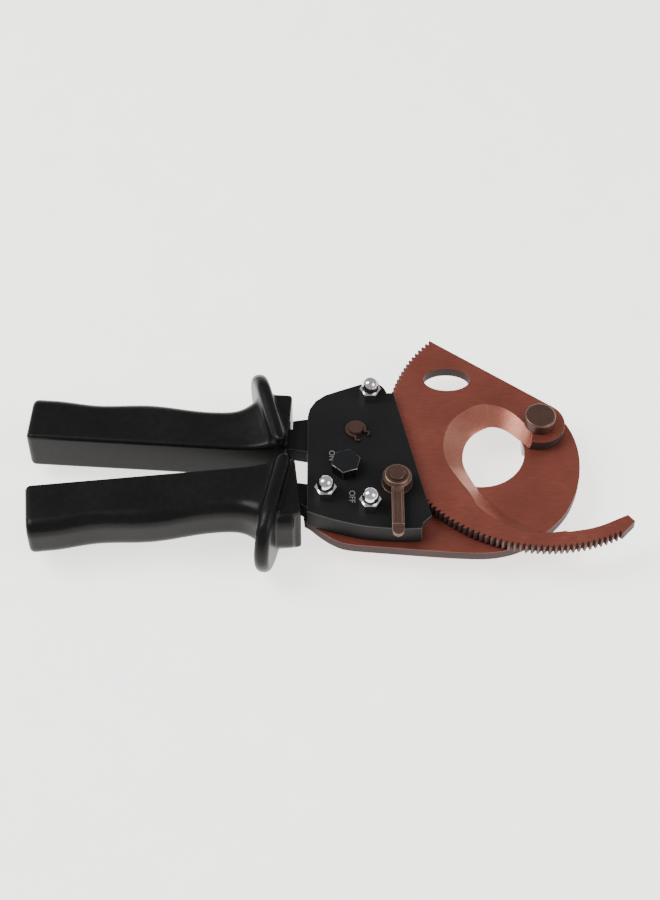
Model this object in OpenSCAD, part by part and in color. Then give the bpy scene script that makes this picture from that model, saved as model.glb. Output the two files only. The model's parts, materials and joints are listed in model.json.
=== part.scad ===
// Ratchet cable cutter with a toothed sickle blade, a hooked fixed blade and two guarded grips.
// +X points to the blades, +Y to the moving grip, +Z out of the front cover.
// The origin is the blade pivot axis, in the plane that the tool lies on.

/* [Blades] */
// Radius over the tips of the ratchet teeth
tooth_r = 65; // [60:0.5:70]
// Depth of a ratchet tooth
tooth_depth = 1.7; // [1:0.1:2.5]
// Angle from one tooth to the next
tooth_pitch_deg = 2.149; // [1.9:0.001:2.4]
// Number of teeth along the rim
tooth_count = 77; // [70:1:80]
// Direction of the first tooth, seen from the pivot
first_tooth_deg = 134.8; // [130:0.1:140]
// Thickness of the moving blade
moving_t = 4.8; // [4:0.1:6]
// Thickness of the fixed blade plate
fixed_t = 4.9; // [4:0.1:6]
// Gap between the two blades
blade_gap = 0.3; // [0.2:0.05:0.5]
// Radius of the round end of the moving blade
pivot_end_r = 10.9; // [9:0.1:13]
// Radius of the fixed throat
throat_r = 19.3; // [17:0.1:21]
// X of the fixed throat's centre
throat_x = -26; // [-30:0.5:-20]
// Y of the fixed throat's centre
throat_y = -11; // [-15:0.5:-5]
// Radius of the ground edge on the rear of the throat
throat_rear_r = 20.5; // [20:0.1:21]
// Height of the ground edge on the rear of the throat
throat_grind_h = 3.6; // [2:0.1:4]
// X of the oblong hole's centre
slot_x = -38.8; // [-42:0.1:-35]
// Y of the oblong hole's centre
slot_y = 24; // [20:0.1:28]
// Long half-width of the oblong hole
slot_a = 10; // [8:0.1:12]
// Short half-width of the oblong hole
slot_b = 6.2; // [5:0.1:8]

/* [Blade pivot] */
// Radius of the pivot bolt's shank
pivot_r = 4; // [3.5:0.1:5]
// Radius of the pivot bolt's plain round head
pivot_head_r = 6.65; // [6:0.05:8]
// Height of the pivot bolt's head
pivot_head_h = 5; // [4:0.1:6]
// Width across the flats of the pivot nut
pivot_nut_af = 13; // [12:0.5:13.5]
// Height of the pivot nut
pivot_nut_h = 6.5; // [6:0.1:8]
// Radius of the washer under the pivot nut
pivot_washer_r = 7.2; // [6.5:0.1:7.5]
// Thickness of the washer under the pivot nut
pivot_washer_t = 1.5; // [1:0.1:2]

/* [Housing] */
// Height of the fixed plate's rear face above the plane the tool lies on
plate_z = 9.7; // [9:0.1:11]
// Thickness of the cover's sheet
sheet_t = 1.5; // [1:0.1:2]
// Gap between the moving blade and the underside of the cover
cover_gap = 3.1; // [2.5:0.1:4]
// Positions of the three cover screws
screw_at = [[-72.3, 11.6], [-91.3, -40.7], [-73, -46.9]];
// Radius of a cover screw
screw_r = 2.5; // [2:0.1:3]
// Radius of a cover screw's head
screw_head_r = 4.4; // [4:0.1:5]
// Height of a cover screw's head
screw_head_h = 3; // [2:0.1:4]
// Width across the flats of a dome nut
dome_af = 8; // [7:0.1:10]
// Height of a dome nut's hexagon
dome_hex_h = 4.5; // [4:0.1:6]
// Radius of a dome nut's dome
dome_r = 3.6; // [3:0.1:4]
// Height of the cylinder under the dome
dome_neck_h = 2; // [1:0.1:3]
// Outer radius of the spacer behind the cover's lobe
spacer_r = 4.2; // [3.5:0.1:5]

/* [Handle pivot] */
// X of the handle pivot
handle_x = -82.9; // [-86:0.1:-80]
// Y of the handle pivot
handle_y = -27.8; // [-30:0.1:-25]
// Radius of the handle pivot bolt
handle_bolt_r = 3.5; // [3:0.1:4]
// Width across the flats of the handle pivot bolt
handle_bolt_af = 11; // [10:0.5:13]
// Height of the handle pivot bolt's head
handle_head_h = 5.2; // [4:0.1:6]
// Turn of the hexagon on the cover
handle_head_turn = 18; // [0:1:59]
// Height of the nut on the handle pivot bolt
handle_nut_h = 5.5; // [4:0.1:6.5]
// Outer radius of the bush that the handle turns on
bush_r = 4.7; // [4.2:0.1:5.5]
// Radius of the moving arm's boss
arm_boss_r = 8.3; // [7:0.1:9]
// Radius of the boss where it stands beside the drive pawl
arm_boss_low_r = 6.2; // [5.8:0.1:6.5]

/* [Pawls] */
// X of the holding pawl's pin
hold_x = -78.6; // [-80:0.1:-77]
// Y of the holding pawl's pin
hold_y = -7.7; // [-9:0.1:-6]
// Radius of the holding pawl's pin
hold_pin_r = 3.25; // [2.5:0.05:3.5]
// Height of the holding pin above the cover
hold_pin_out = 1.9; // [1.5:0.1:3]
// Radius of the holding pawl's boss
hold_boss_r = 5; // [4.5:0.1:5.2]
// X of the drive pawl's pin
drive_x = -79.9; // [-81:0.1:-79]
// Y of the drive pawl's pin
drive_y = -38; // [-39:0.1:-37]
// Radius of the drive pawl's pin
drive_pin_r = 1.9; // [1.5:0.1:2.2]
// Radius of the drive pawl's boss
drive_boss_r = 3.4; // [3:0.1:3.6]
// Thickness of both pawls
pawl_t = 4.5; // [4:0.1:4.6]
// Wire radius of the pawl springs
spring_wire_r = 0.4; // [0.3:0.05:0.5]

/* [Release] */
// X of the release shaft
release_x = -61.8; // [-63:0.1:-61]
// Y of the release shaft
release_y = -35.7; // [-37:0.1:-34]
// Radius of the release shaft in the cover and the lever
release_r = 3.4; // [3:0.1:3.6]
// Radius of the release shaft between the pawls
release_low_r = 2.6; // [2.3:0.1:2.8]
// Height of the release shaft above the cover
release_out = 7.6; // [6:0.1:9]
// Radius of the lever's boss
lever_boss_r = 6.1; // [5.5:0.1:7]
// Height of the lever's boss
lever_boss_h = 5.4; // [4:0.1:6]
// Length of the lever from the shaft to its tip
lever_len = 28.4; // [24:0.1:32]
// Width of the lever
lever_w = 5.1; // [4:0.1:6]
// Thickness of the lever's blade
lever_t = 2.6; // [2:0.1:3.5]
// Thickness of the washer under the lever
lever_washer_t = 1; // [0.8:0.1:1.5]

/* [Grips] */
// Length of a grip from the guard to its end
grip_len = 107.5; // [95:0.5:115]
// Thickness of a grip across the plates
grip_w = 20; // [18:0.5:24]
// Height of a grip at its palm swell
grip_h = 23.5; // [21:0.1:26]
// Height of a grip at its waists
grip_waist_h = 20.9; // [18:0.1:23]
// Radius of a grip's outer edges
grip_edge_r = 6; // [3:0.5:8]
// Height of a grip's middle above the plane the tool lies on
grip_z = 17.5; // [16:0.1:19]
// Half-width of a guard
guard_r = 17.5; // [16:0.1:19]
// Height of a guard from the inner face of its grip
guard_h = 45.5; // [38:0.5:48]
// Thickness of a guard
guard_t = 6; // [4:0.1:8]
// Lean of a guard towards the end of its grip
guard_lean = 18; // [5:0.5:22]
// Width of the collar in front of a guard
collar_w = 26; // [22:0.5:30]
// Height of the collar in front of a guard
collar_h = 28; // [20:0.5:30]
// Length of the collar in front of the moving grip's guard
moving_collar_len = 3; // [2:0.1:9]
// Length of the collar in front of the fixed grip's guard
fixed_collar_len = 4.4; // [3:0.1:9]
// X and Y where the moving grip's inner face meets its guard
moving_grip_at = [-110.3, -20.8];
// Turn of the moving grip
moving_grip_deg = -3.9; // [-8:0.1:0]
// X and Y where the fixed grip's inner face meets its guard
fixed_grip_at = [-108.5, -27.3];
// Turn of the fixed grip
fixed_grip_deg = 6.1; // [0:0.1:10]
// Width of the steel tang in a grip
tang_h = 11.4; // [10:0.1:14]
// Length of the steel tang in a grip
tang_len = 88; // [70:1:98]

/* [Colours] */
// Bronze-brown coating of the blades
blade_colour = [0.45, 0.24, 0.2];
// Black coating of the cover and the arms
black_colour = [0.17, 0.165, 0.17];
// Black moulding of the grips
grip_colour = [0.12, 0.115, 0.115];
// Bright plating of the dome nuts
chrome_colour = [0.82, 0.82, 0.84];
// Darkened steel of the pins and the lever
pin_colour = [0.36, 0.27, 0.24];
// Plain steel of the hidden parts
steel_colour = [0.6, 0.6, 0.62];

/* [Hidden] */
$fn = 48;
guard_fn = 64;
wire_fn = 24;
eps = 0.01;
// Distance that a cutter runs past both faces
past = 1;
// Running clearance of a shaft in its hole, and clearance between parts that stay together
run_fit = 0.06;
still_fit = 0.05;
// Gap kept between parts that move past each other
side_gap = 0.3;
plate_top = plate_z + fixed_t;
blade_z = plate_top + blade_gap;
blade_top = blade_z + moving_t;
cover_z = blade_top + cover_gap;
cover_top = cover_z + sheet_t;
arm_z = plate_top + side_gap;
arm_t = cover_z - plate_top - 2 * side_gap;
ear_z = blade_top + side_gap;
pawl_side_gap = 0.4;
pawl_z = plate_top + pawl_side_gap;
root_r = tooth_r - tooth_depth;
// Share of the pitch at which a tooth's steep side, its flat tip and its slope begin
tooth_steep = -0.3;
tooth_tip_from = -0.18;
tooth_tip_to = 0.08;
spline_steps = 4;
// Upper edge of the moving blade, from the last tooth to the round end
blade_nose = [5.6, 9.4];
// Cutting edge on the rear face, from the pivot to the sickle. The grind runs out past both ends.
edge_line = [
  [-4.6, -12.5], [-5, -10.1], [-8, -6.5], [-13.4, -1.3], [-17.2, 0.8], [-21.6, 1], [-27.8, -2.8],
  [-31.5, -8], [-33.1, -14.2], [-32.8, -19.8], [-30.2, -26.6], [-27.2, -32.4], [-22.8, -38.6],
  [-17.4, -44.3], [-11.4, -48.6], [-6, -51.6], [-0.5, -54.4], [4, -56.2], [9, -55.4]
];
// Outer edge of the grind on the front face, station by station with the cutting edge
grind_line = [
  [-4.1, -11.6], [-3.4, -5.3], [-7.1, 0.6], [-11.6, 5.8], [-17.3, 9.3], [-24.4, 10.2], [-32, 6.4],
  [-38.4, -0.4], [-41.7, -11.4], [-40.5, -21], [-35.8, -30], [-31.8, -36.6], [-28.8, -43.4],
  [-24.2, -48.4], [-18, -52.8], [-11.3, -55.9], [-3.8, -57.3], [3.6, -56.9], [9, -56]
];
// Inner side of the sickle, from the end of the grind to the tip
sickle_line = [[8.5, -56.8], [16.4, -55.4], [22.6, -53.4], [28.9, -50.4], [33.3, -48.3]];
sickle_tip = [36, -51.5];
throat_centre = [throat_x, throat_y];
throat_grind_slope = (throat_rear_r - throat_r) / throat_grind_h;
grind_over = 0.2;
// Point inside the throat circle where the outline turns up to the boss
throat_in = 0.5;
throat_end_deg = 10;
// Outer edge of the fixed blade, from the pivot down and back to the fixed arm
fixed_line = [
  [9.4, 7.4], [12.6, 2.4], [14.8, -3.4], [16.2, -10.6], [16.4, -18], [15.4, -26.4], [13, -34.6],
  [9.2, -42.6], [4, -49.4], [-2, -55], [-8.7, -59.2], [-15.8, -62.2], [-24, -63.8],
  [-34, -63.8], [-48.4, -62.8], [-66, -61.2], [-81.7, -59.6], [-88.4, -57],
  [-93.8, -53], [-97.4, -49.6], [-100.1, -47.6]
];
// Rest of the fixed plate, up behind the cover and round the jaw to the throat
plate_line = [[-101.6, -33.4], [-99, -32.4]];
jaw_line = [[-62.4, 12.9], [-55, 12.4], [-49.6, 8.6], [-46.2, 2.4], [-44.4, throat_y]];
// Step between the cover's lobe and the jaw
jaw_step = [[-68, 18], [-65.2, 13]];
boss_r = 11.4;
// Left corner, top and lobe of the cover
corner_line = [[-99, 0], [-98.2, 4], [-95.6, 8.4], [-91.6, 11.6], [-86, 13.9], [-76.5, 17.6]];
lobe_r = 7.2;
cover_nick = [-65.4, 12.8];
cover_peak = [-62.3, 12.8];
cover_foot = [-47.8, -52.2];
cover_chamfer = [-51.3, -55.8];
// Bent lower edge of the cover, from right to left
bend_line = [
  [-51.9, -58.4], [-58, -58.7], [-65.4, -58.4], [-76.3, -57.2], [-87.2, -54.4], [-93.6, -52.2], [-99, -50]
];
// Fixed arm between the plate and the cover
fixed_arm_line = [
  [-110, -34.9], [-102.6, -34.2], [-99, -34.8], [-93, -36.8], [-89.6, -39.2], [-87.7, -42.6],
  [-80, -43.6], [-74, -43.7], [-69.6, -46], [-69.6, -49.4], [-74, -50.8], [-92, -48.4], [-99, -47],
  [-102.6, -44.6], [-110, -44.9]
];
// Moving arm from its tang to the boss
moving_arm_line = [
  [-112, -16.5], [-112, -5.3], [-105.3, -5.7], [-105.3, -1.2], [-99, -0.2], [-96.8, -2.6], [-92.4, -9.4],
  [-88.4, -18], [-78, -21.1], [-90.2, -32], [-95, -22], [-99, -17.9], [-106.4, -16.5]
];
ear_r = 3.4;
// Half-widths of the moving arm's web at its boss, and how far below the pivot it starts
web_left = 7;
web_right = 7.9;
web_low = 3;
// Web of the moving arm from its boss to the drive pawl's pin
ear_line = [
  [handle_x - web_left, handle_y - web_low], [drive_x - ear_r, drive_y],
  [drive_x + ear_r, drive_y], [handle_x + web_right, handle_y - web_low]
];
boss_wall = 3.6;
// Holding pawl outline beside its boss: nose to the teeth, tail down to the release cam
hold_nose_line = [[-77.6, -3], [-70, -8.4], [-64.6, -14.6], [-64.3, -16.2], [-67, -16.8], [-74.5, -15.5]];
hold_tail_line = [
  [-74.6, -9], [-70.5, -14], [-68.4, -24], [-66.5, -35.4], [-69.6, -35.4], [-72.4, -24],
  [-77.5, -12.4]
];
// Drive pawl outline beside its boss
drive_line = [
  [-79.6, -36.3], [-73.5, -38], [-61.6, -40.7], [-53.4, -42.7], [-49.7, -44.6], [-49.6, -45.2],
  [-50.6, -46.2], [-61.9, -43.6], [-73.8, -41.1], [-79.6, -39.7]
];
drive_thin_t = 2.3;
drive_thin_r = 3.8;
// Cam lobes on the release shaft: reach and direction
hold_lobe_reach = 3.2;
hold_lobe_deg = 180;
drive_lobe_reach = 2.4;
drive_lobe_deg = 270;
lobe_tip_r = 1.2;
// Retaining rings
ring_t = 1;
rest_gap = 0.1;
groove_z = cover_top + rest_gap;
ring_r = 4.5;
ring_groove = 0.35;
ring_lug_r = 1.35;
ring_lug_at = 5.1;
ring_eye_r = 0.6;
ring_open_deg = -54.5;
ring_half_gap = 28;
ring_slot_w = 4;
clip_r = 4.4;
clip_t = 0.8;
shaft_end = 1.6;
// Gap between a spring's wire and its pin, to the middle of the wire
coil_gap = 0.8;
// Share of a hexagon's corner that is turned down
corner_turn = 0.4;
// Distance that a cover screw stops below the start of its dome
screw_short = 1;
// Round end of the moving blade and boss of the fixed blade: first angle, step and last angle
end_sweep = [52, -8, -108];
boss_sweep = [150, -10, 40];
// Stations along a grip: distance from the guard as a share of the length, and height
grip_stations = [
  [0, grip_h + 3], [0.1, grip_waist_h + 1.2], [0.3, grip_waist_h + 0.5], [0.53, grip_h],
  [0.74, grip_waist_h + 0.6], [0.98, grip_h], [1, grip_h - 1.6]
];
grip_inner_r = 1.2;
grip_end_soft = 1.6;
// Straight steps in each quarter turn of a grip's section
palm_turn_steps = 8;
guard_soft = 2.2;
moving_tang_low = 4.2;
fixed_tang_low = 7;
tang_tip_gap = 0.6;
// Length of a tang in front of its guard
tang_root = 2;

function polar(r, a) = [r * cos(a), r * sin(a)];

function spline(p0, p1, p2, p3, t) =
  0.5 * (2 * p1 + (p2 - p0) * t + (2 * p0 - 5 * p1 + 4 * p2 - p3) * t * t
  + (3 * p1 - p0 - 3 * p2 + p3) * t * t * t);

function smooth(pts) = [
  for (i = [0 : len(pts) - 2])
    for (k = [0 : spline_steps - 1])
      spline(
        pts[max(i - 1, 0)], pts[i], pts[i + 1], pts[min(i + 2, len(pts) - 1)], k / spline_steps
      ),
  pts[len(pts) - 1]
];

function backwards(pts) = [for (i = [len(pts) - 1 : -1 : 0]) pts[i]];

function shifted(pts, by) = [for (p = pts) p + by];

function tooth(a) = [
  polar(root_r, a + tooth_steep * tooth_pitch_deg),
  polar(tooth_r, a + tooth_tip_from * tooth_pitch_deg),
  polar(tooth_r, a + tooth_tip_to * tooth_pitch_deg)
];

module at(x, y, z = 0) {
  translate([x, y, z]) children();
}

module plate(z, t) {
  translate([0, 0, z]) linear_extrude(t) children();
}

// Through hole for a shaft, in a sheet that starts at z and is h thick
module bore(x, y, z, h, r) {
  at(x, y, z - past) cylinder(r = r, h = h + 2 * past);
}

module hexagon(af, h) {
  cylinder(r = af / sqrt(3), h = h, $fn = 6);
}

// Hexagon with its corners turned down at the outer end
module turned_hexagon(af, h, top_chamfer = true) {
  chamfer = (af / sqrt(3) - af / 2) * corner_turn;
  intersection() {
    hexagon(af, h);
    translate([0, 0, top_chamfer ? 0 : h])
      mirror([0, 0, top_chamfer ? 0 : 1])
        union() {
          cylinder(r = af / sqrt(3) + eps, h = h - chamfer);
          translate([0, 0, h - chamfer])
            cylinder(r1 = af / sqrt(3) + eps, r2 = af / 2 - chamfer / 2, h = chamfer);
        }
  }
}

function toward_throat(p, d) = p + d * (throat_centre - p) / norm(throat_centre - p);

// Closed solid through a row of rings that have the same number of points
module loft(rings) {
  n = len(rings[0]);
  last = n * (len(rings) - 1);
  sides = [
    for (i = [0 : len(rings) - 2])
      for (j = [0 : n - 1])
        each [
          [n * i + j, n * (i + 1) + (j + 1) % n, n * i + (j + 1) % n],
          [n * i + j, n * (i + 1) + j, n * (i + 1) + (j + 1) % n]
        ]
  ];
  caps = [
    for (j = [1 : n - 2])
      each [[0, j, j + 1], [last + j + 1, last + j, last]]
  ];
  polyhedron([for (ring = rings) each ring], concat(sides, caps));
}

// Wedge that grinds the cutting edge: four points for each station along it
module grind_cut(z) {
  bottom = smooth(edge_line);
  top = smooth(grind_line);
  n = len(bottom);
  // Height that the wedge stands out above and below the blade, along the slope of the grind
  over = 0.2;
  k = over / moving_t;
  wedge_w = 3;
  loft([
    for (i = [0 : n - 1])
      let (
        slope = top[i] - bottom[i],
        low = bottom[i] - k * slope,
        high = top[i] + k * slope,
        inner = toward_throat(low, wedge_w)
      )
      [
        [high[0], high[1], z + moving_t + over],
        [low[0], low[1], z - over],
        [inner[0], inner[1], z - over],
        [inner[0], inner[1], z + moving_t + over]
      ]
  ]);
}

module moving_blade() {
  teeth = [for (i = [0 : tooth_count - 1]) each tooth(first_tooth_deg + i * tooth_pitch_deg)];
  end_arc = [for (a = [end_sweep[0] : end_sweep[1] : end_sweep[2]]) polar(pivot_end_r, a)];
  edge = smooth(edge_line);
  // Width that the grind still takes off the blade's inner side
  stock = 0.6;
  inner = [for (i = [spline_steps : len(edge) - 1 - spline_steps]) toward_throat(edge[i], stock)];
  outline = concat(
    backwards(teeth), [blade_nose], end_arc, inner, smooth(sickle_line), [sickle_tip]
  );
  color(blade_colour)
    difference() {
      plate(blade_z, moving_t) polygon(outline);
      grind_cut(blade_z);
      bore(0, 0, blade_z, moving_t, pivot_r + run_fit);
      at(slot_x, slot_y, blade_z - past)
        linear_extrude(moving_t + 2 * past) scale([1, slot_b / slot_a]) circle(r = slot_a);
    }
}

module fixed_outline() {
  boss_arc = [for (a = [boss_sweep[0] : boss_sweep[1] : boss_sweep[2]]) polar(boss_r, a)];
  polygon(concat(
    boss_arc, smooth(fixed_line), plate_line, corner_line, jaw_step,
    smooth(jaw_line), [throat_centre, throat_centre + polar(throat_r - throat_in, throat_end_deg)]
  ));
}

module fixed_blade() {
  color(blade_colour)
    difference() {
      plate(plate_z, fixed_t) fixed_outline();
      bore(throat_x, throat_y, plate_z, fixed_t, throat_r);
      at(throat_x, throat_y, plate_z - grind_over)
        cylinder(
          r1 = throat_rear_r + grind_over * throat_grind_slope,
          r2 = throat_r - grind_over * throat_grind_slope, h = throat_grind_h + 2 * grind_over
        );
      bore(0, 0, plate_z, fixed_t, pivot_r + still_fit);
      for (p = screw_at)
        bore(p[0], p[1], plate_z, fixed_t, screw_r + still_fit);
      bore(handle_x, handle_y, plate_z, fixed_t, handle_bolt_r + still_fit);
      bore(hold_x, hold_y, plate_z, fixed_t, hold_pin_r + still_fit);
      bore(release_x, release_y, plate_z, fixed_t, release_low_r + run_fit);
    }
}

module blade_pivot_bolt() {
  head_z = blade_top + side_gap;
  soft = 0.5;
  color(pin_colour) {
    at(0, 0, head_z) cylinder(r = pivot_head_r, h = pivot_head_h - soft);
    at(0, 0, head_z + pivot_head_h - soft)
      cylinder(r1 = pivot_head_r, r2 = pivot_head_r - soft, h = soft);
    at(0, 0, soft) cylinder(r = pivot_r, h = head_z - soft);
    cylinder(r1 = pivot_r - soft, r2 = pivot_r, h = soft);
  }
}

module blade_pivot_washer() {
  color(steel_colour)
    difference() {
      at(0, 0, plate_z - pivot_washer_t) cylinder(r = pivot_washer_r, h = pivot_washer_t);
      bore(0, 0, plate_z - pivot_washer_t, pivot_washer_t, pivot_r + still_fit);
    }
}

module blade_pivot_nut() {
  nut_z = plate_z - pivot_washer_t - pivot_nut_h;
  flats_ahead = 30;
  color(steel_colour)
    difference() {
      at(0, 0, nut_z) rotate(flats_ahead) turned_hexagon(pivot_nut_af, pivot_nut_h, false);
      bore(0, 0, nut_z, pivot_nut_h, pivot_r + still_fit);
    }
}

module cover_outline() {
  polygon(concat(
    corner_line, [screw_at[0] + polar(lobe_r, 90), cover_nick, cover_peak, cover_foot, cover_chamfer],
    smooth(bend_line)
  ));
  translate(screw_at[0]) circle(r = lobe_r);
}

module front_cover() {
  flange_line = smooth(bend_line);
  color(black_colour)
    difference() {
      union() {
        plate(cover_z, sheet_t) cover_outline();
        plate(plate_top, cover_z - plate_top + eps)
          polygon(concat(flange_line, backwards(shifted(flange_line, [0, sheet_t]))));
      }
      for (p = screw_at)
        bore(p[0], p[1], cover_z, sheet_t, screw_r + still_fit);
      bore(handle_x, handle_y, cover_z, sheet_t, handle_bolt_r + still_fit);
      bore(hold_x, hold_y, cover_z, sheet_t, hold_pin_r + still_fit);
      bore(release_x, release_y, cover_z, sheet_t, release_r + run_fit);
    }
}

module cover_spacer() {
  color(steel_colour)
    difference() {
      at(screw_at[0][0], screw_at[0][1], plate_top) cylinder(r = spacer_r, h = cover_z - plate_top);
      bore(screw_at[0][0], screw_at[0][1], plate_top, cover_z - plate_top, screw_r + still_fit);
    }
}

module cover_screws() {
  soft = 0.8;
  soft_h = 1;
  socket_af = 3;
  socket_h = 1.6;
  color(steel_colour)
    for (p = screw_at)
      difference() {
        union() {
          at(p[0], p[1], plate_z - screw_head_h)
            cylinder(r1 = screw_head_r - soft, r2 = screw_head_r, h = soft_h);
          at(p[0], p[1], plate_z - screw_head_h + soft_h)
            cylinder(r = screw_head_r, h = screw_head_h - soft_h);
          at(p[0], p[1], plate_z)
            cylinder(r = screw_r, h = cover_top - plate_z + dome_hex_h + dome_neck_h - screw_short);
        }
        at(p[0], p[1], plate_z - screw_head_h - past) hexagon(socket_af, socket_h + past);
      }
}

module dome_nuts() {
  // Room over the end of the screw
  end_gap = 0.4;
  screw_end = dome_hex_h + dome_neck_h - screw_short;
  color(chrome_colour)
    for (p = screw_at)
      difference() {
        union() {
          at(p[0], p[1], cover_top) turned_hexagon(dome_af, dome_hex_h);
          at(p[0], p[1], cover_top + dome_hex_h - past) cylinder(r = dome_r, h = dome_neck_h + past);
          at(p[0], p[1], cover_top + dome_hex_h + dome_neck_h) sphere(r = dome_r);
        }
        at(p[0], p[1], cover_top - past)
          cylinder(r = screw_r + still_fit, h = screw_end + end_gap + past);
      }
}

module handle_pivot_bolt() {
  end_out = 1;
  end_z = plate_z - handle_nut_h - end_out;
  color(black_colour) {
    at(handle_x, handle_y, cover_top)
      rotate(handle_head_turn) turned_hexagon(handle_bolt_af, handle_head_h);
    at(handle_x, handle_y, end_z) cylinder(r = handle_bolt_r, h = cover_top - end_z);
  }
}

module handle_pivot_nut() {
  nut_z = plate_z - handle_nut_h;
  color(steel_colour)
    difference() {
      at(handle_x, handle_y, nut_z) turned_hexagon(handle_bolt_af, handle_nut_h, false);
      bore(handle_x, handle_y, nut_z, handle_nut_h, handle_bolt_r + still_fit);
    }
}

module handle_bush() {
  color(steel_colour)
    difference() {
      at(handle_x, handle_y, plate_top) cylinder(r = bush_r, h = cover_z - plate_top);
      bore(handle_x, handle_y, plate_top, cover_z - plate_top, handle_bolt_r + still_fit);
    }
}

// Local frame of a grip: X to the blades, Y away from the other grip, Z from the grip's middle
module in_grip(where, turn, z, flip) {
  translate([where[0], where[1], z]) rotate(turn) mirror([0, flip ? 1 : 0, 0]) children();
}

module tang(y_low, z_low, t) {
  translate([-tang_len, y_low, z_low]) cube([tang_len + tang_root, tang_h, t]);
}

module moving_arm() {
  color(black_colour)
    difference() {
      union() {
        plate(arm_z, arm_t) polygon(moving_arm_line);
        at(handle_x, handle_y, arm_z) cylinder(r = arm_boss_low_r, h = arm_t);
        at(handle_x, handle_y, ear_z) cylinder(r = arm_boss_r, h = arm_z + arm_t - ear_z);
        plate(ear_z, arm_z + arm_t - ear_z) polygon(ear_line);
        at(drive_x, drive_y, ear_z) cylinder(r = ear_r, h = arm_z + arm_t - ear_z);
        in_grip(moving_grip_at, moving_grip_deg, 0, false) tang(moving_tang_low, arm_z, arm_t);
      }
      bore(handle_x, handle_y, arm_z, arm_t, bush_r + run_fit);
      bore(drive_x, drive_y, ear_z, arm_z + arm_t - ear_z, drive_pin_r + still_fit);
    }
}

module fixed_arm() {
  color(black_colour)
    difference() {
      union() {
        plate(plate_top, cover_z - plate_top) polygon(fixed_arm_line);
        for (i = [1, 2])
          at(screw_at[i][0], screw_at[i][1], plate_top)
            cylinder(r = boss_wall, h = cover_z - plate_top);
        in_grip(fixed_grip_at, fixed_grip_deg, 0, true)
          tang(fixed_tang_low, plate_top, cover_z - plate_top);
      }
      for (i = [1, 2])
        bore(screw_at[i][0], screw_at[i][1], plate_top, cover_z - plate_top, screw_r + still_fit);
    }
}

// Rounded section of a grip: from the inner face over one side, the back and the other side
function palm_ring(s, h) =
  let (
    inset = s == 1 ? grip_end_soft : 0,
    inner_y = grip_inner_r + inset,
    inner_z = grip_w / 2 - inset - grip_inner_r,
    back_y = h - grip_edge_r,
    back_z = grip_w / 2 - inset - grip_edge_r
  )
  [
    for (turn = [
      [inner_y, inner_z, grip_inner_r, 180], [back_y, back_z, grip_edge_r, 90],
      [back_y, -back_z, grip_edge_r, 0], [inner_y, -inner_z, grip_inner_r, -90]
    ])
      for (i = [0 : palm_turn_steps])
        let (a = turn[3] - 90 * i / palm_turn_steps)
        [-s * grip_len, turn[0] + turn[2] * cos(a), turn[1] + turn[2] * sin(a)]
  ];

module guard() {
  core_t = guard_t - 2 * guard_soft;
  foot_h = 5;
  foot_soft = 0.6;
  rotate([0, 90, 0])
    rotate([-guard_lean, 0, 0])
      hull() {
        translate([0, guard_h - guard_r, -core_t / 2])
          cylinder(r = guard_r, h = core_t, $fn = guard_fn);
        translate([0, guard_h - guard_r, -guard_t / 2])
          cylinder(r = guard_r - guard_soft, h = guard_t, $fn = guard_fn);
        translate([-guard_r, foot_soft, -core_t / 2]) cube([2 * guard_r, foot_h, core_t]);
        translate([guard_soft - guard_r, 0, -guard_t / 2])
          cube([2 * (guard_r - guard_soft), foot_h, guard_t]);
      }
}

// Block in front of the guard, filled back to the middle of the guard's lean
module collar(length) {
  soft = 2;
  intersection() {
    translate([-collar_h, 0, 0]) rotate([0, 90, 0])
      linear_extrude(collar_h + length)
        polygon([
          [-collar_w / 2, soft], [-collar_w / 2, collar_h - soft], [soft - collar_w / 2, collar_h],
          [collar_w / 2 - soft, collar_h], [collar_w / 2, collar_h - soft], [collar_w / 2, soft],
          [collar_w / 2 - soft, 0], [soft - collar_w / 2, 0]
        ]);
    translate([0, 0, -collar_w / 2])
      linear_extrude(collar_w)
        polygon([[0, 0], [length, 0], [length, collar_h], [-collar_h * tan(guard_lean), collar_h]]);
  }
}

module grip(tang_low, arm_low, arm_thick, collar_len) {
  difference() {
    union() {
      loft([for (station = grip_stations) palm_ring(station[0], station[1])]);
      guard();
      collar(collar_len);
    }
    translate([-tang_len - tang_tip_gap, tang_low - still_fit, arm_low - grip_z - still_fit])
      cube([
        tang_len + tang_tip_gap + guard_t + collar_len + past, tang_h + 2 * still_fit,
        arm_thick + 2 * still_fit
      ]);
  }
}

module moving_grip() {
  color(grip_colour)
    in_grip(moving_grip_at, moving_grip_deg, grip_z, false)
      grip(moving_tang_low, arm_z, arm_t, moving_collar_len);
}

module fixed_grip() {
  color(grip_colour)
    in_grip(fixed_grip_at, fixed_grip_deg, grip_z, true)
      grip(fixed_tang_low, plate_top, cover_z - plate_top, fixed_collar_len);
}

module drive_pawl() {
  color(steel_colour)
    difference() {
      union() {
        plate(pawl_z, pawl_t) polygon(drive_line);
        at(drive_x, drive_y, pawl_z) cylinder(r = drive_boss_r, h = pawl_t);
      }
      at(drive_x, drive_y, pawl_z + drive_thin_t) cylinder(r = drive_thin_r, h = pawl_t);
      bore(drive_x, drive_y, pawl_z, pawl_t, drive_pin_r + run_fit);
    }
}

module drive_pawl_pin() {
  color(pin_colour)
    at(drive_x, drive_y, arm_z) cylinder(r = drive_pin_r, h = arm_t);
}

// One open turn of wire round a pin, with a straight leg at each end
module torsion_spring(r, z, from_deg, leg_len) {
  turn = 320;
  translate([0, 0, z + spring_wire_r])
    rotate(from_deg) {
      rotate_extrude(angle = turn) translate([r, 0]) circle(r = spring_wire_r, $fn = wire_fn);
      for (a = [0, turn])
        rotate(a) translate([r, 0, 0]) rotate([a == 0 ? 90 : -90, 0, 0])
          cylinder(r = spring_wire_r, h = leg_len, $fn = wire_fn);
    }
}

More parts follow.
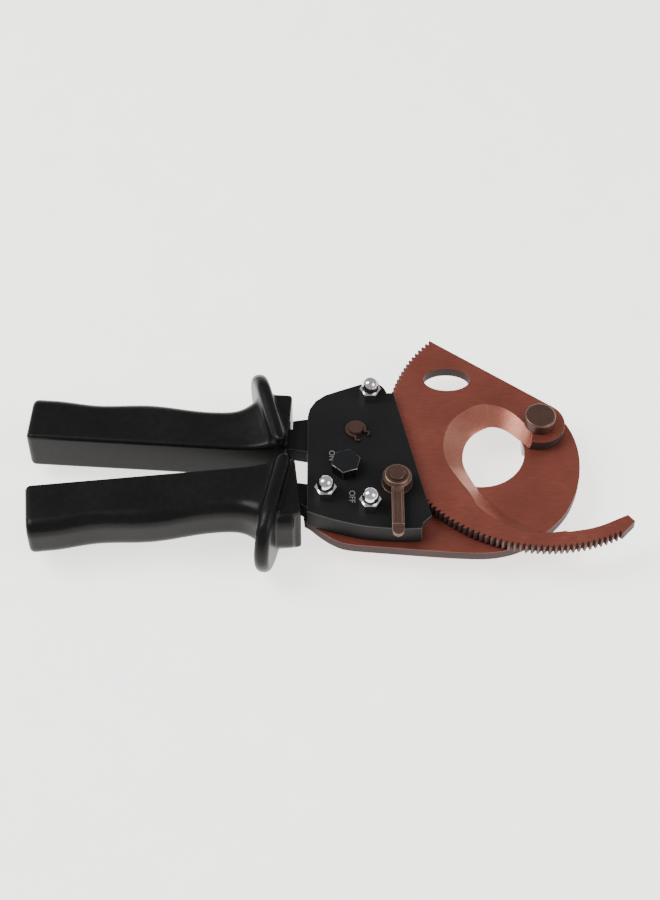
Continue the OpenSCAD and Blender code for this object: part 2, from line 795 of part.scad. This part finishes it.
module drive_pawl_spring() {
  from_deg = 100;
  color(steel_colour)
    at(drive_x, drive_y)
      torsion_spring(drive_pin_r + coil_gap, pawl_z + drive_thin_t + side_gap, from_deg, coil_gap);
}

module holding_pawl() {
  color(steel_colour)
    difference() {
      union() {
        at(hold_x, hold_y, pawl_z) cylinder(r = hold_boss_r, h = pawl_t);
        plate(pawl_z, pawl_t) polygon(hold_nose_line);
        plate(pawl_z, pawl_t) polygon(hold_tail_line);
      }
      bore(hold_x, hold_y, pawl_z, pawl_t, hold_pin_r + run_fit);
    }
}

module holding_pawl_pin() {
  head_r = 4.6;
  head_h = 2;
  soft = 0.3;
  color(pin_colour) {
    at(hold_x, hold_y, plate_z - head_h) cylinder(r = head_r, h = head_h);
    at(hold_x, hold_y, plate_z) cylinder(r = hold_pin_r, h = groove_z - plate_z);
    at(hold_x, hold_y, groove_z) cylinder(r = hold_pin_r - ring_groove, h = ring_t);
    at(hold_x, hold_y, groove_z + ring_t)
      cylinder(r1 = hold_pin_r, r2 = hold_pin_r - soft, h = hold_pin_out - ring_t);
  }
}

module holding_pawl_spring() {
  from_deg = 60;
  leg_len = 4;
  color(steel_colour)
    at(hold_x, hold_y) torsion_spring(hold_pin_r + coil_gap, ear_z + side_gap, from_deg, leg_len);
}

module retaining_ring() {
  groove_r = hold_pin_r - ring_groove + still_fit;
  color(pin_colour)
    at(hold_x, hold_y, groove_z)
      linear_extrude(ring_t)
        rotate(ring_open_deg)
          difference() {
            union() {
              circle(r = ring_r);
              for (side = [-1, 1])
                translate(polar(ring_lug_at, side * ring_half_gap)) circle(r = ring_lug_r);
            }
            circle(r = groove_r);
            translate([0, -ring_slot_w / 2]) square([ring_lug_at + ring_lug_r + past, ring_slot_w]);
            for (side = [-1, 1])
              translate(polar(ring_lug_at, side * ring_half_gap)) circle(r = ring_eye_r);
          }
}

module release_shaft() {
  low_z = plate_z - shaft_end;
  soft = 0.4;
  color(pin_colour) {
    at(release_x, release_y, low_z) cylinder(r = release_low_r, h = cover_z - side_gap - low_z);
    at(release_x, release_y, cover_z - side_gap)
      cylinder(r = release_r, h = cover_top - cover_z + side_gap + release_out - soft);
    at(release_x, release_y, cover_top + release_out - soft)
      cylinder(r1 = release_r, r2 = release_r - soft, h = soft);
    for (lobe = [[hold_lobe_reach, hold_lobe_deg], [drive_lobe_reach, drive_lobe_deg]])
      at(release_x, release_y, pawl_z)
        rotate(lobe[1]) {
          translate([0, -lobe_tip_r, 0]) cube([lobe[0], 2 * lobe_tip_r, pawl_t]);
          translate([lobe[0], 0, 0]) cylinder(r = lobe_tip_r, h = pawl_t);
        }
  }
}

module release_lever() {
  lever_z = cover_top + lever_washer_t + rest_gap;
  tier_h = 1.2;
  blade_low = 0.9;
  rim = 0.9;
  step_at = 4.6;
  color(pin_colour)
    at(release_x, release_y, lever_z)
      difference() {
        union() {
          cylinder(r = lever_boss_r, h = lever_boss_h - tier_h);
          at(0, 0, lever_boss_h - tier_h)
            cylinder(r1 = lever_boss_r, r2 = lever_boss_r - tier_h, h = tier_h);
          translate([-lever_w / 2, step_at - lever_len, blade_low])
            cube([lever_w, lever_len - step_at, lever_t]);
          translate([-lever_w / 2, lever_w / 2 - lever_len, blade_low])
            cube([lever_w, lever_len - step_at, lever_t - rim]);
          translate([0, lever_w / 2 - lever_len, blade_low])
            cylinder(r = lever_w / 2, h = lever_t - rim);
        }
        translate([rim - lever_w / 2, step_at + rim - lever_len, blade_low + lever_t - rim])
          cube([lever_w - 2 * rim, lever_len - step_at - lever_boss_r - 2 * rim, lever_t]);
        bore(0, 0, 0, lever_boss_h, release_r + still_fit);
      }
}

module release_washer() {
  color(pin_colour)
    at(release_x, release_y, cover_top)
      difference() {
        cylinder(r = lever_boss_r + side_gap, h = lever_washer_t);
        bore(0, 0, 0, lever_washer_t, release_r + run_fit);
      }
}

module release_clip() {
  mouth = 2.4;
  color(steel_colour)
    at(release_x, release_y, plate_z - side_gap - clip_t)
      difference() {
        cylinder(r = clip_r, h = clip_t);
        bore(0, 0, 0, clip_t, release_low_r + still_fit);
        translate([0, -mouth / 2, -past]) cube([clip_r + past, mouth, clip_t + 2 * past]);
      }
}

moving_blade();
fixed_blade();
blade_pivot_bolt();
blade_pivot_washer();
blade_pivot_nut();
front_cover();
cover_spacer();
cover_screws();
dome_nuts();
handle_pivot_bolt();
handle_pivot_nut();
handle_bush();
moving_arm();
moving_grip();
fixed_arm();
fixed_grip();
drive_pawl();
drive_pawl_pin();
drive_pawl_spring();
holding_pawl();
holding_pawl_pin();
holding_pawl_spring();
retaining_ring();
release_shaft();
release_lever();
release_washer();
release_clip();
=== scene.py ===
import json
import math

import bmesh
import bpy
from mathutils import Matrix, Vector


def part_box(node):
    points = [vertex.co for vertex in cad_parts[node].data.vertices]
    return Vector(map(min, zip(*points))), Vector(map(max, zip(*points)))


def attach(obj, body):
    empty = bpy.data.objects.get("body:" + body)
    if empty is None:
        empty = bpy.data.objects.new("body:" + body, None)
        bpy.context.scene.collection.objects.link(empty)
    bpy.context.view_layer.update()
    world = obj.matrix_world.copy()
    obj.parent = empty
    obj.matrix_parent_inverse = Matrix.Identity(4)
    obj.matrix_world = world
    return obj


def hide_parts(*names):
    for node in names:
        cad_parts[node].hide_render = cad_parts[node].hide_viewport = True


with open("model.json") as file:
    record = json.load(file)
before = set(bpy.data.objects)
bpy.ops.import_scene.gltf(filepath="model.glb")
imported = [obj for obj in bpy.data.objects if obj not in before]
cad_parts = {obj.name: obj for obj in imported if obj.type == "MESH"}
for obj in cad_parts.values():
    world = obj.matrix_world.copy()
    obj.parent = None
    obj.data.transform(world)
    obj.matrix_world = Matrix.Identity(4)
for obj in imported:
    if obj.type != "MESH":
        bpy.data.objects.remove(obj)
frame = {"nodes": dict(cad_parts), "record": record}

MM = 0.001
# Spacing of the slow drift in every finish, and of the scratches
DRIFT_MM, SCRATCH_MM = 22, 0.8
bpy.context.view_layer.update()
body_of = {n: b for b, names in frame["record"]["behaviour"]["bodies"].items() for n in names}


def select_only(obj):
    bpy.ops.object.select_all(action="DESELECT")
    obj.select_set(True)
    bpy.context.view_layer.objects.active = obj


def apply_modifier(obj, kind, **settings):
    select_only(obj)
    mod = obj.modifiers.new(kind.title(), kind)
    for key, value in settings.items():
        setattr(mod, key, value)
    bpy.ops.object.modifier_apply(modifier=mod.name)


def smooth_shade(obj, angle_deg):
    select_only(obj)
    bpy.ops.object.shade_smooth_by_angle(angle=math.radians(angle_deg))


# Materials -----------------------------------------------------------------

def colour(hex_code):
    """sRGB hex to linear RGBA."""
    parts = [int(hex_code[i:i + 2], 16) / 255 for i in (1, 3, 5)]
    return [c / 12.92 if c <= 0.04045 else ((c + 0.055) / 1.055) ** 2.4 for c in parts] + [1]


def add(tree, kind, inputs=None, **settings):
    """Adds a node; an input is a value or another node's socket."""
    made = tree.nodes.new(kind)
    for key, value in settings.items():
        setattr(made, key, value)
    for key, value in (inputs or {}).items():
        if isinstance(value, bpy.types.NodeSocket):
            tree.links.new(value, made.inputs[key])
        else:
            made.inputs[key].default_value = value
    return made


def start_material(name):
    mat = bpy.data.materials.new(name)
    mat.use_nodes = True
    tree = mat.node_tree
    tree.nodes.clear()
    place = add(tree, "ShaderNodeTexCoord").outputs["Object"]
    return mat, tree, place


def end_material(tree, shader):
    add(tree, "ShaderNodeOutputMaterial", {"Surface": shader.outputs[0]})


def finish_of(name, low, high, rough, metallic, grain_mm, bump_mm,
              stretch=(1, 1, 1), marks=0.0, specular=0.5, glow=0.0):
    """A surface whose colour and roughness drift with its grain, with fine scratches where marks is over 0."""
    mat, tree, place = start_material(name)
    where = add(tree, "ShaderNodeMapping", {"Vector": place, "Scale": stretch}).outputs[0]
    grain = add(tree, "ShaderNodeTexNoise", {
        "Vector": where, "Scale": 1 / (grain_mm * MM), "Detail": 4.0, "Roughness": 0.6})
    drift = add(tree, "ShaderNodeTexNoise", {"Vector": place, "Scale": 1 / (DRIFT_MM * MM), "Detail": 3.0})
    blend = add(tree, "ShaderNodeMath", {0: grain.outputs[0], 1: drift.outputs[0]}, operation="MULTIPLY")
    height = grain.outputs[0]
    tone = blend.outputs[0]
    if marks:
        # Handling scratches: long thin cells of noise, kept only at their peaks
        along = add(tree, "ShaderNodeMapping", {
            "Vector": place, "Scale": (0.04, 1, 1), "Rotation": (0, 0, 0.5)}).outputs[0]
        lines = add(tree, "ShaderNodeTexNoise", {
            "Vector": along, "Scale": 1 / (SCRATCH_MM * MM), "Detail": 2.0}).outputs[0]
        peaks = add(tree, "ShaderNodeMapRange", {
            "Value": lines, "From Min": 0.66, "From Max": 0.74, "To Max": marks}).outputs[0]
        tone = add(tree, "ShaderNodeMath", {0: tone, 1: peaks}, operation="ADD").outputs[0]
    ramp = add(tree, "ShaderNodeValToRGB", {"Fac": tone})
    ramp.color_ramp.elements[0].position = 0.1
    ramp.color_ramp.elements[0].color = colour(low)
    ramp.color_ramp.elements[1].position = 0.5
    ramp.color_ramp.elements[1].color = colour(high)
    gloss = add(tree, "ShaderNodeMapRange", {
        "Value": tone, "From Min": 0.1, "From Max": 0.45, "To Min": rough[0], "To Max": rough[1]})
    bump = add(tree, "ShaderNodeBump", {"Height": height, "Strength": 0.3, "Distance": bump_mm * MM})
    shader = add(tree, "ShaderNodeBsdfPrincipled", {
        "Base Color": ramp.outputs[0], "Metallic": metallic, "Roughness": gloss.outputs[0],
        "Normal": bump.outputs[0], "Specular IOR Level": specular})
    if glow:
        tree.links.new(ramp.outputs[0], shader.inputs["Emission Color"])
        shader.inputs["Emission Strength"].default_value = glow
    end_material(tree, shader)
    return mat


# Baked bronze-brown non-stick coating on a milled blade: satin, a little metallic, faint scratches
coating = finish_of("bronze_coated_blade_steel", "#73392e", "#8d4c3e", (0.36, 0.46), 0.55, 0.5, 0.008,
                    stretch=(0.15, 1, 1), marks=0.16)
# The same coating over the ground bevel: brighter, with the wheel's fine marks
ground = finish_of("ground_bevel_steel", "#9c5646", "#cf9382", (0.26, 0.36), 0.8, 0.35, 0.006)
# Rubbed edge of the coating, a little paler: rubbed wear plus a painted highlight that draws the outline of
# each blade
rubbed_bronze_painted_highlight = finish_of("rubbed_bronze_edge_painted_highlight", "#6b4036", "#8a5a4c", (0.3, 0.42), 0.8, 0.4, 0.01)
# Sheared walls of the blanked plates: painted shade makes them darker and greyer than the faces, and they are
# duller
painted_shade_wall = finish_of("plate_wall_painted_shade", "#33282a", "#4b3b39", (0.5, 0.62), 0.0, 0.4, 0.015,
                    stretch=(1, 1, 0.2), specular=0.12)
# Powder coat on pressed sheet: satin black with a fine orange peel
powder = finish_of("black_powder_coat", "#161616", "#212021", (0.42, 0.52), 0.0, 0.9, 0.02, specular=0.09)
# Powder coat on a pressed edge: thin there, with a dull shine and a paler painted highlight
powder_edge_painted_highlight = finish_of("thin_powder_edge_painted_highlight", "#2c2c2c", "#474646", (0.34, 0.44), 0.3, 0.5, 0.01)
# Black oxide on a turned hexagon head: a little blue, with bare corners
oxide = finish_of("black_oxide_steel", "#17181a", "#252629", (0.3, 0.42), 0.5, 0.5, 0.006, specular=0.35)
# Bare steel where the oxide is gone from the hexagon's corners, brightened into a thin painted highlight line
bare_corner_painted_highlight = finish_of("bare_steel_corner_painted_highlight", "#6c6c6c", "#a0a0a0", (0.26, 0.36), 0.9, 0.4, 0.006)
# Moulded PVC grip: semi-gloss black with the mould's soft unevenness
moulded = finish_of("moulded_black_pvc", "#0d0c0c", "#161515", (0.28, 0.38), 0.0, 2.2, 0.03, specular=0.13)
# Bright nickel-chrome plating on the dome nuts: mirror with faint haze
chrome = finish_of("bright_chrome_plate", "#c4c4c8", "#e8e8ec", (0.06, 0.14), 1.0, 1.2, 0.002)
# Browned steel of the lever, pins and ring: dark and dull, with a few scratches
browned = finish_of("browned_steel", "#432e28", "#60483e", (0.36, 0.48), 0.6, 0.6, 0.015, marks=0.1)
# Rubbed edge of the browned steel: a paler, shinier line round the lever and the pin heads, partly rubbed wear
# and partly painted highlight
rubbed_brown_painted_highlight = finish_of("rubbed_brown_edge_painted_highlight", "#755b50", "#9a8074", (0.32, 0.44), 0.8, 0.4, 0.01)
# Zinc-plated hardware on the rear: pale grey, soft gloss
zinc = finish_of("zinc_plated_steel", "#7d7f83", "#a8aaae", (0.28, 0.42), 0.9, 0.8, 0.008)
# Paint in the stamped marks, half rubbed out
paint = finish_of("worn_marking_paint", "#6e6c6a", "#97958f", (0.5, 0.6), 0.0, 0.4, 0.005)


# Pieces --------------------------------------------------------------------

def merged_copy(node, name):
    """A new object with the node's shape, its triangles joined into one skin."""
    obj = bpy.data.objects.new(name, frame["nodes"][node].data.copy())
    bpy.context.scene.collection.objects.link(obj)
    obj.data.materials.clear()
    select_only(obj)
    bpy.ops.object.mode_set(mode="EDIT")
    bpy.ops.mesh.select_all(action="SELECT")
    bpy.ops.mesh.remove_doubles(threshold=0.01 * MM)
    bpy.ops.mesh.customdata_custom_splitnormals_clear()
    bpy.ops.mesh.dissolve_limited(angle_limit=math.radians(0.4))
    bpy.ops.object.mode_set(mode="OBJECT")
    return obj


def stands_for(obj, node):
    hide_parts(node)
    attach(obj, body_of[node])


# Least angle between two faces whose edge is broken
SHARP_DEG = 28


def broken_edges(node, name, radius_mm, mats, pick=None, segments=2, angle_deg=30):
    """The node with its sharp edges broken; the last finish, rubbed wear with a painted highlight, is the one
    on those edges.
    """
    obj = merged_copy(node, name)
    for mat in mats:
        obj.data.materials.append(mat)
    if pick:
        for face in obj.data.polygons:
            face.material_index = pick(face)
    apply_modifier(obj, "BEVEL", width=radius_mm * MM, segments=segments, limit_method="ANGLE",
                   angle_limit=math.radians(SHARP_DEG), use_clamp_overlap=False, material=len(mats) - 1)
    smooth_shade(obj, angle_deg)
    # The wide flat faces keep their own direction, and only the broken edges curve
    apply_modifier(obj, "WEIGHTED_NORMAL", mode="FACE_AREA", weight=100, keep_sharp=True)
    stands_for(obj, node)


def plate_face(face):
    """0 on the flat faces, 1 on the ground slopes, 2 on the walls, which take the painted shade."""
    level, slope = 0.985, 0.2
    up = abs(face.normal.z)
    if up > level:
        return 0
    return 1 if up > slope else 2


# Flat faces, ground slopes, walls in painted shade, and broken edges with rubbed wear and a painted highlight
bronze = [coating, ground, painted_shade_wall, rubbed_bronze_painted_highlight]
broken_edges("moving_blade", "moving_blade_skin", 0.13, bronze, plate_face)
broken_edges("fixed_blade", "fixed_blade_skin", 0.2, bronze, plate_face)
broken_edges("front_cover", "front_cover_skin", 0.3, [powder, powder_edge_painted_highlight], segments=3)
broken_edges("moving_arm", "moving_arm_skin", 0.3, [powder, powder_edge_painted_highlight])
broken_edges("fixed_arm", "fixed_arm_skin", 0.3, [powder, powder_edge_painted_highlight])
broken_edges("release_lever", "release_lever_skin", 0.22, [browned, rubbed_brown_painted_highlight], segments=3)
broken_edges("release_washer", "release_washer_skin", 0.15, [browned, rubbed_brown_painted_highlight])
broken_edges("blade_pivot_bolt", "blade_pivot_bolt_skin", 0.15, [browned, rubbed_brown_painted_highlight])
broken_edges("handle_pivot_bolt", "handle_pivot_bolt_skin", 0.22, [oxide, bare_corner_painted_highlight], segments=3)


# Grips: one moulding each, whose guard flows out of it through a wide flare ----------

GRIP_LEN, GRIP_W, GRIP_Z = 107.5, 20, 17.5
GUARD_R, GUARD_H, GUARD_T, GUARD_LEAN = 17.5, 45.5, 6, 18
COLLAR_W, COLLAR_H = 26, 28
# Flare of the bar into its guard: length, height and widening of its sides
FLARE_LEN, FLARE_H, FLARE_SIDES = 6, 8, 0.3
# Height of the plain bar that the palm is shaped from
BAR_H = 23.3
LEAN_SLOPE = math.tan(math.radians(GUARD_LEAN))
# Height of the palm side along the grip: share of the length, and millimetres
PALM = [(0, 23.2), (0.12, 21.8), (0.3, 21.4), (0.53, BAR_H), (0.74, 21.7), (0.92, 23.2), (1, BAR_H)]


def palm_height(share):
    """Smooth curve through the palm side's heights."""
    for (s0, h0), (s1, h1) in zip(PALM, PALM[1:]):
        if share <= s1:
            t = (share - s0) / (s1 - s0)
            return h0 + (h1 - h0) * t * t * (3 - 2 * t)
    return PALM[-1][1]


def deselect_all():
    if bpy.context.mode != "OBJECT":
        bpy.ops.object.mode_set(mode="OBJECT")
    bpy.ops.object.select_all(action="DESELECT")


def block(x0, x1, y0, y1, z0, z1):
    deselect_all()
    middle = [(x0 + x1) / 2 * MM, (y0 + y1) / 2 * MM, (z0 + z1) / 2 * MM]
    bpy.ops.mesh.primitive_cube_add(size=1, location=middle)
    obj = bpy.context.object
    obj.scale = [(x1 - x0) * MM, (y1 - y0) * MM, (z1 - z0) * MM]
    bpy.ops.object.transform_apply(location=True, rotation=True, scale=True)
    return obj


def select_edges(obj, wanted):
    """In edit mode with only those edges selected whose two ends pass."""
    bpy.ops.object.mode_set(mode="EDIT")
    bpy.ops.mesh.select_mode(type="EDGE")
    bpy.ops.mesh.select_all(action="DESELECT")
    bm = bmesh.from_edit_mesh(obj.data)
    for edge in bm.edges:
        edge.select = wanted(edge.verts[0].co / MM, edge.verts[1].co / MM)
    bmesh.update_edit_mesh(obj.data)


def handle_bar():
    """The grip itself: a bar with rounded outer edges, a swelling palm side and a flare at the guard."""
    into_guard, outer_r, inner_r, end_r, slice_mm = 1, 6, 1, 2.2, 1.5
    obj = block(-GRIP_LEN, into_guard, 0, BAR_H, -GRIP_W / 2, GRIP_W / 2)
    select_edges(obj, lambda a, b: abs(a.x - b.x) > 50 and a.y > 10)
    bpy.ops.mesh.bevel(offset=outer_r * MM, segments=8, affect="EDGES")
    select_edges(obj, lambda a, b: abs(a.x - b.x) > 50 and a.y < 1)
    bpy.ops.mesh.bevel(offset=inner_r * MM, segments=3, affect="EDGES")
    select_edges(obj, lambda a, b: max(a.x, b.x) < 1 - GRIP_LEN)
    bpy.ops.mesh.bevel(offset=end_r * MM, segments=5, affect="EDGES")
    cut = 2
    while cut < GRIP_LEN - 2:
        bpy.ops.mesh.select_all(action="SELECT")
        bpy.ops.mesh.bisect(plane_co=(-cut * MM, 0, 0), plane_no=(1, 0, 0))
        cut += slice_mm
    bpy.ops.object.mode_set(mode="OBJECT")
    for v in obj.data.vertices:
        back = max(0.0, -v.co.x / MM)
        # Distance behind the guard, which leans back over the palm side
        behind = max(0.0, back - v.co.y / MM * LEAN_SLOPE - GUARD_T / 2)
        flare = math.exp(-((behind / FLARE_LEN) ** 1.5))
        grown = palm_height(min(1.0, back / GRIP_LEN)) + FLARE_H * flare
        v.co.y *= grown / BAR_H
        v.co.z *= 1 + FLARE_SIDES * flare
    return obj


def finger_guard():
    """A rounded paddle: half round outside, squared towards the other grip, leaning back over the fingers."""
    deselect_all()
    bpy.ops.mesh.primitive_cylinder_add(
        vertices=72, radius=GUARD_R * MM, depth=GUARD_T * MM, location=(0, 0, 0))
    obj = bpy.context.object
    select_edges(obj, lambda a, b: a.z * b.z > 0)
    bpy.ops.mesh.bevel(offset=2.6 * MM, segments=6, affect="EDGES")
    bpy.ops.object.mode_set(mode="OBJECT")
    straight = (GUARD_H - GUARD_R) * MM
    lean = math.radians(GUARD_LEAN)
    for v in obj.data.vertices:
        x, y, z = v.co
        if y < 0:
            widest = max(abs(x), abs(y))
            reach = math.hypot(x, y)
            x, y = x / widest * reach, y / widest * reach * straight / (GUARD_R * MM)
        y += straight
        v.co = (z - y * math.sin(lean), y * math.cos(lean) + z * math.sin(lean), x)
    return obj


def grip_skin(node, name, at_mm, turn_deg, flip, collar_mm):
    collar = block(-GUARD_T / 2, collar_mm, 0, COLLAR_H, -COLLAR_W / 2, COLLAR_W / 2)
    # Its back follows the middle of the leaning guard
    for v in collar.data.vertices:
        if v.co.x < 0:
            v.co.x = -v.co.y * LEAN_SLOPE
    select_edges(collar, lambda a, b: True)
    bpy.ops.mesh.bevel(offset=1.2 * MM, segments=3, affect="EDGES")
    bpy.ops.object.mode_set(mode="OBJECT")
    obj = handle_bar()
    guard = finger_guard()
    deselect_all()
    for part in (collar, guard, obj):
        part.select_set(True)
    bpy.context.view_layer.objects.active = obj
    bpy.ops.object.join()
    obj.name = name
    apply_modifier(obj, "REMESH", mode="VOXEL", voxel_size=0.7 * MM)
    near_guard = obj.vertex_groups.new(name="near_guard")
    for v in obj.data.vertices:
        # Distance behind the leaning guard's rear face
        behind = (-v.co.x - v.co.y * LEAN_SLOPE) / MM - GUARD_T / 2
        near = max(0.0, 1 - abs(behind - 1) / 6) if v.co.y / MM < 34 else 0.0
        near_guard.add([v.index], near, "REPLACE")
    apply_modifier(obj, "SMOOTH", factor=0.5, iterations=3)
    apply_modifier(obj, "SMOOTH", factor=0.6, iterations=30, vertex_group="near_guard")
    obj.vertex_groups.clear()
    obj.data.transform(Matrix.Translation(Vector((at_mm[0], at_mm[1], GRIP_Z)) * MM)
                       @ Matrix.Rotation(math.radians(turn_deg), 4, "Z")
                       @ Matrix.Diagonal((1, -1 if flip else 1, 1, 1)))
    obj.data.materials.append(moulded)
    bpy.ops.object.mode_set(mode="EDIT")
    bpy.ops.mesh.select_all(action="SELECT")
    bpy.ops.mesh.normals_make_consistent(inside=False)
    bpy.ops.object.mode_set(mode="OBJECT")
    select_only(obj)
    bpy.ops.object.shade_smooth()
    stands_for(obj, node)


grip_skin("moving_grip", "moving_grip_skin", (-110.3, -20.8), -3.9, False, 3)
grip_skin("fixed_grip", "fixed_grip_skin", (-108.5, -27.3), 6.1, True, 4.4)

# CAD nodes whose shape is right keep it and take the real finish
for node_name, mat in {
    "dome_nuts": chrome, "cover_screws": zinc, "blade_pivot_washer": zinc, "blade_pivot_nut": zinc,
    "handle_pivot_nut": zinc, "handle_bush": zinc, "cover_spacer": zinc, "drive_pawl": zinc,
    "drive_pawl_pin": browned, "drive_pawl_spring": zinc, "holding_pawl": zinc, "holding_pawl_pin": browned,
    "holding_pawl_spring": zinc, "retaining_ring": browned, "release_shaft": browned, "release_clip": zinc,
}.items():
    obj = frame["nodes"][node_name]
    obj.data.materials.clear()
    obj.data.materials.append(mat)


def marking(word, name, x_mm, y_mm, size_mm, turn_deg):
    """A stamped and paint-filled word on the cover's face."""
    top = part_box("front_cover")[1].z
    bpy.ops.object.select_all(action="DESELECT")
    bpy.ops.object.text_add(
        location=(x_mm * MM, y_mm * MM, top + 0.01 * MM), rotation=(0, 0, math.radians(turn_deg)))
    obj = bpy.context.object
    obj.name = name
    obj.data.body = word
    obj.data.size = size_mm * MM
    obj.data.extrude = 0.01 * MM
    obj.data.align_x = "CENTER"
    obj.data.align_y = "CENTER"
    bpy.ops.object.convert(target="MESH")
    bpy.ops.object.transform_apply(location=True, rotation=True, scale=True)
    obj.data.materials.clear()
    obj.data.materials.append(paint)
    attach(obj, body_of["front_cover"])


marking("ON", "on_mark", -88.8, -21.2, 3.4, -90)
marking("OFF", "off_mark", -80.5, -42.5, 3.6, -90)

# Room ----------------------------------------------------------------------

bpy.ops.object.select_all(action="DESELECT")
bpy.ops.mesh.primitive_plane_add(size=6, location=(0, 0, 0))
floor = bpy.context.object
floor.name = "floor"
# Matt white backing paper, lit a little from within so that it stays near white beside the black grips
paper = finish_of("matt_white_paper", "#f8f7f3", "#fcfbf8", (0.85, 0.95), 0.0, 30, 0.001, glow=1.9)
floor.data.materials.append(paper)

world = bpy.data.worlds.new("studio")
bpy.context.scene.world = world
world.use_nodes = True
world.node_tree.nodes["Background"].inputs[0].default_value = colour("#ffffff")
world.node_tree.nodes["Background"].inputs[1].default_value = 0.55


def softbox(name, at, aim, size, watts):
    light = bpy.data.lights.new(name, "AREA")
    light.shape = "RECTANGLE"
    light.size, light.size_y = size
    light.energy = watts
    obj = bpy.data.objects.new(name, light)
    obj.location = at
    obj.rotation_euler = (Vector(aim) - Vector(at)).to_track_quat("-Z", "Y").to_euler()
    bpy.context.scene.collection.objects.link(obj)


centre = (-0.09, -0.015, 0.02)
softbox("key", (-0.75, 0.1, 0.85), centre, (0.5, 0.7), 11)
softbox("fill", (0.6, -0.35, 0.7), centre, (0.6, 0.6), 5)

camera = bpy.data.objects.new("camera", bpy.data.cameras.new("camera"))
bpy.context.scene.collection.objects.link(camera)
target = Vector((-0.0895, -0.0147, 0.0197))
rise = math.radians(52.3)
camera.location = target + 0.8 * Vector((0, -math.cos(rise), math.sin(rise)))
camera.rotation_euler = (target - camera.location).to_track_quat("-Z", "Y").to_euler()
camera.data.sensor_width = 36
camera.data.lens = 75.7
camera.data.clip_start = 0.01
bpy.context.scene.camera = camera
